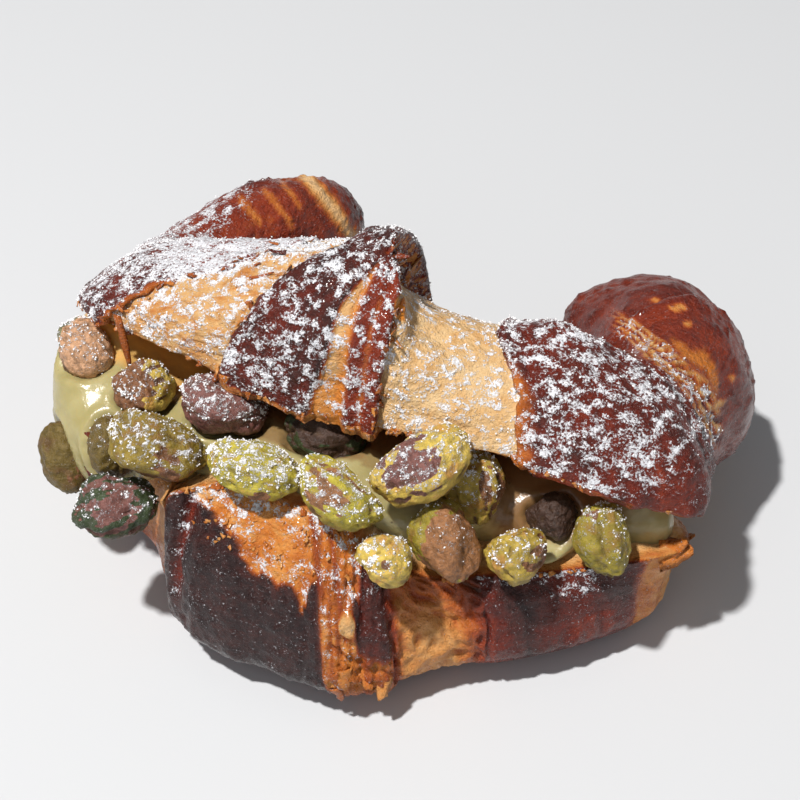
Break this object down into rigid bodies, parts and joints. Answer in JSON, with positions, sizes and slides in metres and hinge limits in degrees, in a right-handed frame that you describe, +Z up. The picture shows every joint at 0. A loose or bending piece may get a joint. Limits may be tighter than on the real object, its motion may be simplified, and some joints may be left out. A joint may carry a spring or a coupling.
{
  "type": "croissant",
  "caption": "Croissant split by a knife and opened at the front, filled with pistachio cream and whole pistachio kernels, with two horns curling in at the back.",
  "frame": {"origin": "on the flat base of the lower half, near the middle of the whole", "axes": "+Z up, +X along the pastry's width, -Y towards the open mouth; the horns reach back towards +Y"},
  "size_m": [0.1328, 0.1178, 0.0786],
  "materials": {
    "top_half": "baked crust, brown, glossy on the horns",
    "bottom_half": "baked crust, dark brown",
    "cream": "smooth pale green cream",
    "pistachio": "roasted kernel, green with brown skin"
  },
  "bodies": {
    "root": {"top_half": "top_half", "bottom_half": "bottom_half", "cream": "cream", "pistachio_01": "pistachio", "pistachio_02": "pistachio", "pistachio_03": "pistachio", "pistachio_04": "pistachio", "pistachio_05": "pistachio", "pistachio_06": "pistachio", "pistachio_07": "pistachio", "pistachio_08": "pistachio", "pistachio_09": "pistachio", "pistachio_10": "pistachio", "pistachio_11": "pistachio", "pistachio_12": "pistachio", "pistachio_13": "pistachio", "pistachio_14": "pistachio", "pistachio_15": "pistachio", "pistachio_16": "pistachio", "pistachio_17": "pistachio"}
  },
  "joints": []
}
